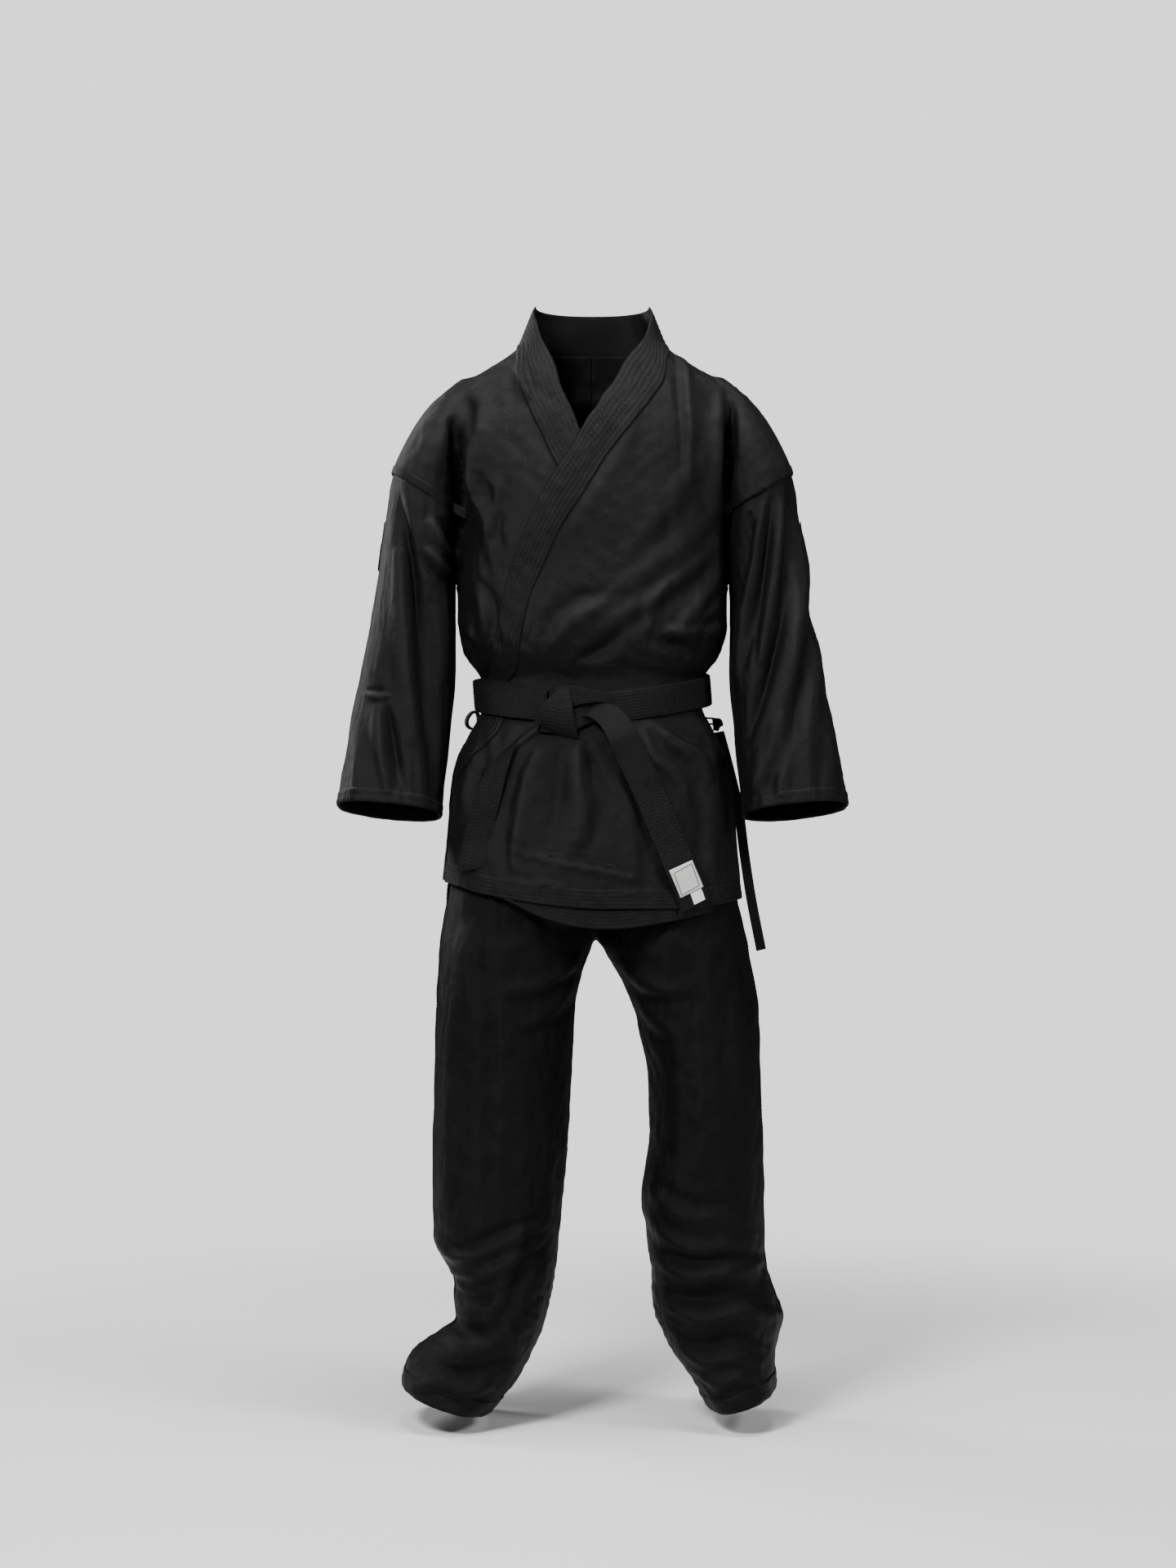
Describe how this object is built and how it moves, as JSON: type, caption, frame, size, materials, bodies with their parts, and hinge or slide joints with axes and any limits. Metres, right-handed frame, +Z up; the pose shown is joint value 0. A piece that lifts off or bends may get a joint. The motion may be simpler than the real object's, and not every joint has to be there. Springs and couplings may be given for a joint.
{
  "type": "martial arts uniform",
  "caption": "Black cotton karate uniform as worn: wrap jacket with stitched lapel, wide straight sleeves and side vents, straight trousers, and a knotted belt with hanging ends.",
  "frame": {"origin": "centre of the base of the neck opening, at shoulder level, where the wearer's shoulders carry the jacket", "axes": "+X to the wearer's left, -Y to the front, +Z up"},
  "size_m": [0.6976, 0.2807, 1.5185],
  "materials": {
    "drill": "black cotton drill with a soft satin sheen",
    "lapel": "several layers of black drill, stitched lengthwise",
    "belt": "black cotton belting with rows of lengthwise stitching",
    "label": "plain woven label",
    "tape": "folded black tape",
    "elastic": "ribbed elastic, hidden in the waistband"
  },
  "bodies": {
    "jacket": {"front_left_panel": "drill", "front_right_panel": "drill", "back_left_panel": "drill", "back_right_panel": "drill", "left_side_panel": "drill", "right_side_panel": "drill", "left_lapel": "lapel", "right_lapel": "lapel", "neck_band": "lapel", "left_sleeve_head": "drill", "right_sleeve_head": "drill", "inner_tie": "tape", "left_side_tie_knot": "tape", "right_side_tie_loop": "tape", "side_patch": "label", "trouser_front_rise": "drill", "trouser_back_rise": "drill", "crotch_gusset": "drill", "waistband": "drill", "waist_elastic": "elastic", "left_thigh_fold": "drill", "right_thigh_fold": "drill", "belt_inner_turn": "belt", "belt_outer_turn": "belt", "belt_knot_core": "belt", "belt_knot_loop": "belt"},
    "left_sleeve": {"left_sleeve": "drill", "left_cuff_hem": "drill"},
    "right_sleeve": {"right_sleeve": "drill", "right_cuff_hem": "drill"},
    "left_leg": {"left_leg_front": "drill", "left_leg_back": "drill", "left_leg_hem": "drill"},
    "right_leg": {"right_leg_front": "drill", "right_leg_back": "drill", "right_leg_hem": "drill"},
    "belt_left_end": {"belt_left_end": "belt", "belt_label": "label", "belt_size_tag": "label"},
    "belt_right_end": {"belt_right_end": "belt"},
    "left_side_tie": {"left_side_tie_tail": "tape"}
  },
  "joints": [
    {"name": "left_sleeve_raise", "type": "hinge", "parent": "jacket", "child": "left_sleeve", "pos_m": [0.215, 0, -0.125], "axis": [0, -1, 0], "range_deg": [0, 60], "deforming": ["left_sleeve_head"]},
    {"name": "right_sleeve_raise", "type": "hinge", "parent": "jacket", "child": "right_sleeve", "pos_m": [-0.215, 0, -0.125], "axis": [0, 1, 0], "range_deg": [0, 60], "deforming": ["right_sleeve_head"]},
    {"name": "left_leg_swing", "type": "hinge", "parent": "jacket", "child": "left_leg", "pos_m": [0.125, 0, -0.765], "axis": [-1, 0, 0], "range_deg": [-20, 25], "deforming": ["left_thigh_fold"]},
    {"name": "right_leg_swing", "type": "hinge", "parent": "jacket", "child": "right_leg", "pos_m": [-0.12, 0, -0.765], "axis": [-1, 0, 0], "range_deg": [-20, 25], "deforming": ["right_thigh_fold"]},
    {"name": "belt_left_end_lift", "type": "hinge", "parent": "jacket", "child": "belt_left_end", "pos_m": [0.052, -0.128, -0.465], "axis": [-1, 0, 0], "range_deg": [0, 60]},
    {"name": "belt_right_end_lift", "type": "hinge", "parent": "jacket", "child": "belt_right_end", "pos_m": [-0.07, -0.126, -0.497], "axis": [-1, 0, 0], "range_deg": [0, 60]},
    {"name": "left_side_tie_swing", "type": "hinge", "parent": "jacket", "child": "left_side_tie", "pos_m": [0.177, 0.042, -0.499], "axis": [1, 0, 0], "range_deg": [-3, 30]}
  ]
}
